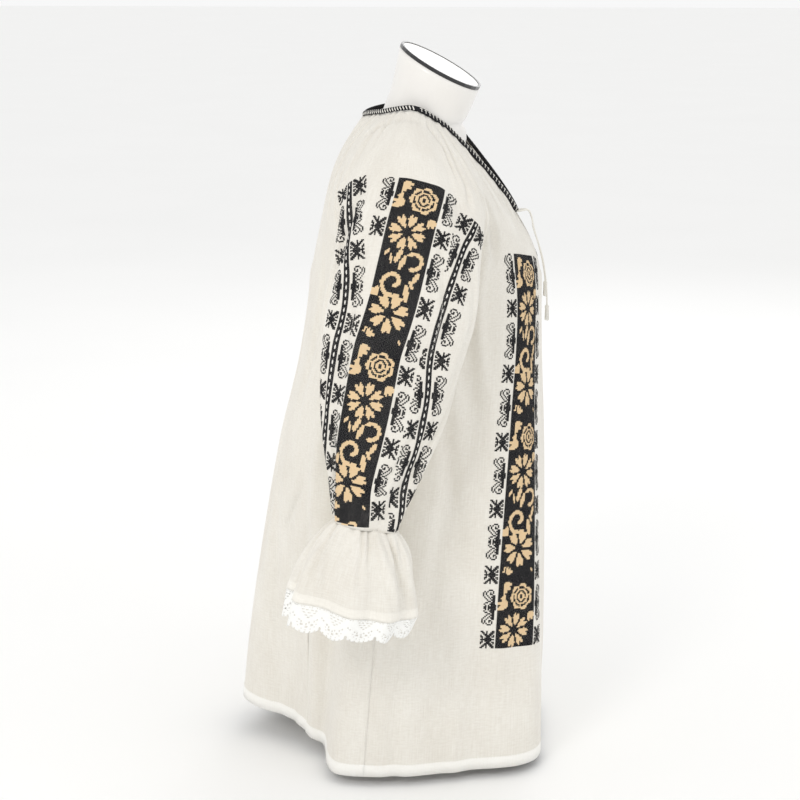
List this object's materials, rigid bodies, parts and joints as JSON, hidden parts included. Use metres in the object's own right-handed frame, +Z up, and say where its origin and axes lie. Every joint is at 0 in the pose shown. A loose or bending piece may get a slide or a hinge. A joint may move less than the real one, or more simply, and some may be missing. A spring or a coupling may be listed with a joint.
{
  "type": "embroidered peasant blouse on a limbless dress form",
  "caption": "Long white peasant blouse with raglan sleeves, ruffled wrists, lace edging, bound neckline and tasselled drawstring, worn by a smooth limbless dress form.",
  "frame": {"origin": "middle of the dress form's flat base, on the floor", "axes": "+Z up; the wearer faces -Y, and the wearer's right side is -X"},
  "size_m": [0.6618, 0.39, 0.8856],
  "materials": {
    "ivory_cotton": "fine crepe weave, matte",
    "white_lace": "cotton lace, matte",
    "black_braid": "braid, matte",
    "white_cord": "twisted cord, matte",
    "pale_plastic": "satin gloss",
    "dark_rim": "gloss"
  },
  "bodies": {
    "root": {"front": "ivory_cotton", "back": "ivory_cotton", "sleeve_right": "ivory_cotton", "sleeve_left": "ivory_cotton", "flounce_right": "ivory_cotton", "flounce_left": "ivory_cotton", "lace_right": "white_lace", "lace_left": "white_lace", "neck_trim": "black_braid", "tie_right": "white_cord", "tie_left": "white_cord", "tassel_right": "white_cord", "tassel_left": "white_cord", "dress_form": "pale_plastic", "neck_cap": "pale_plastic", "neck_rim": "dark_rim"}
  },
  "joints": []
}
